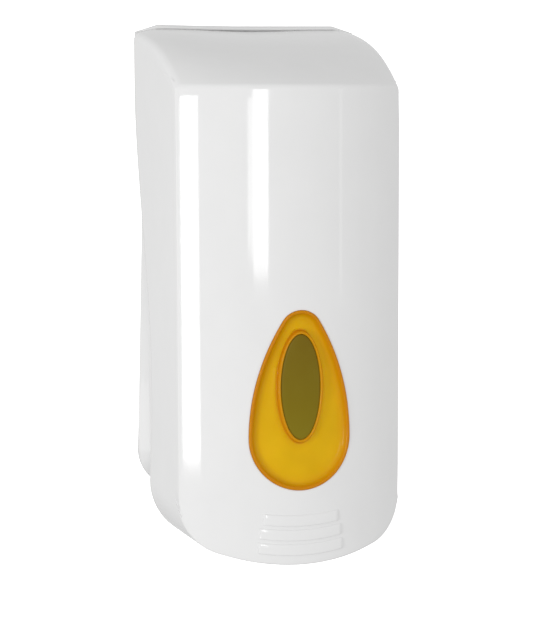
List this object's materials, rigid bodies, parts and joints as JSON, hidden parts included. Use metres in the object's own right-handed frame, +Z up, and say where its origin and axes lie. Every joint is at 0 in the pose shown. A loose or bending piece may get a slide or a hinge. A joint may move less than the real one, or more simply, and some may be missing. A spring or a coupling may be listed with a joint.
{
  "type": "wall mounted soap dispenser",
  "caption": "White push-cover soap dispenser for a wall: bowed glossy shell with a sloping top, a teardrop amber window and grip bars, over a refillable tank and a piston pump.",
  "frame": {"origin": "middle of the four wall screw holes, on the back face of the wall plate", "axes": "+Z up, +Y into the wall, the front faces -Y, X = 0 is the middle plane"},
  "size_m": [0.1322, 0.1168, 0.2942],
  "materials": {
    "white_shell": "high gloss moulded ABS",
    "amber_lens": "translucent amber, polished",
    "olive_glass": "translucent olive, polished",
    "white_moulding": "fine satin moulding",
    "grey_plastic": "satin acetal",
    "tank_plastic": "milky translucent polyethylene",
    "black_rubber": "matte moulded rubber",
    "clear_rubber": "translucent silicone",
    "steel": "turned stainless steel",
    "chrome_lock": "polished plating"
  },
  "bodies": {
    "base": {"back_plate": "white_shell", "pivot_pins": "steel", "tank": "tank_plastic", "tank_seal": "black_rubber", "pump_body": "white_moulding", "pump_end_cap": "grey_plastic", "pump_spring": "steel", "pump_screws": "steel", "inlet_valve": "clear_rubber", "outlet_valve": "clear_rubber", "spout": "white_moulding"},
    "lever": {"push_lever": "grey_plastic"},
    "cover": {"front_cover": "white_shell", "window_lens": "amber_lens", "sight_glass": "olive_glass", "lens_gasket": "black_rubber", "lens_retainer": "grey_plastic", "lock_body": "chrome_lock", "lock_nut": "steel"},
    "lid": {"tank_lid": "white_moulding", "lid_seal": "black_rubber"},
    "piston": {"pump_piston": "white_moulding", "piston_seal": "black_rubber"},
    "lock": {"lock_plug": "chrome_lock", "lock_cam": "steel", "lock_screw": "steel"}
  },
  "joints": [
    {"name": "cover_push", "type": "hinge", "parent": "base", "child": "lever", "pos_m": [0, -0.034, 0.126], "axis": [1, 0, 0], "range_deg": [0, 4.5], "stiffness_Nm_per_rad": 28, "springref_deg": -2.46},
    {"name": "cover_open", "type": "hinge", "parent": "lever", "child": "cover", "pos_m": [0, -0.034, 0.126], "axis": [-1, 0, 0], "range_deg": [0, 85]},
    {"name": "piston_slide", "type": "slide", "parent": "base", "child": "piston", "axis": [0, 1, 0], "range_m": [0, 0.017], "deforming": ["pump_spring"]},
    {"name": "lid_lift", "type": "slide", "parent": "base", "child": "lid", "axis": [0, 0, 1], "range_m": [0, 0.02]},
    {"name": "key_turn", "type": "hinge", "parent": "cover", "child": "lock", "pos_m": [0, -0.1, -0.14], "axis": [0, 0, -1], "range_deg": [0, 90]}
  ],
  "couplings": [
    {"joint": "piston_slide", "follows": "cover_push", "m_per_rad": 0.216}
  ]
}
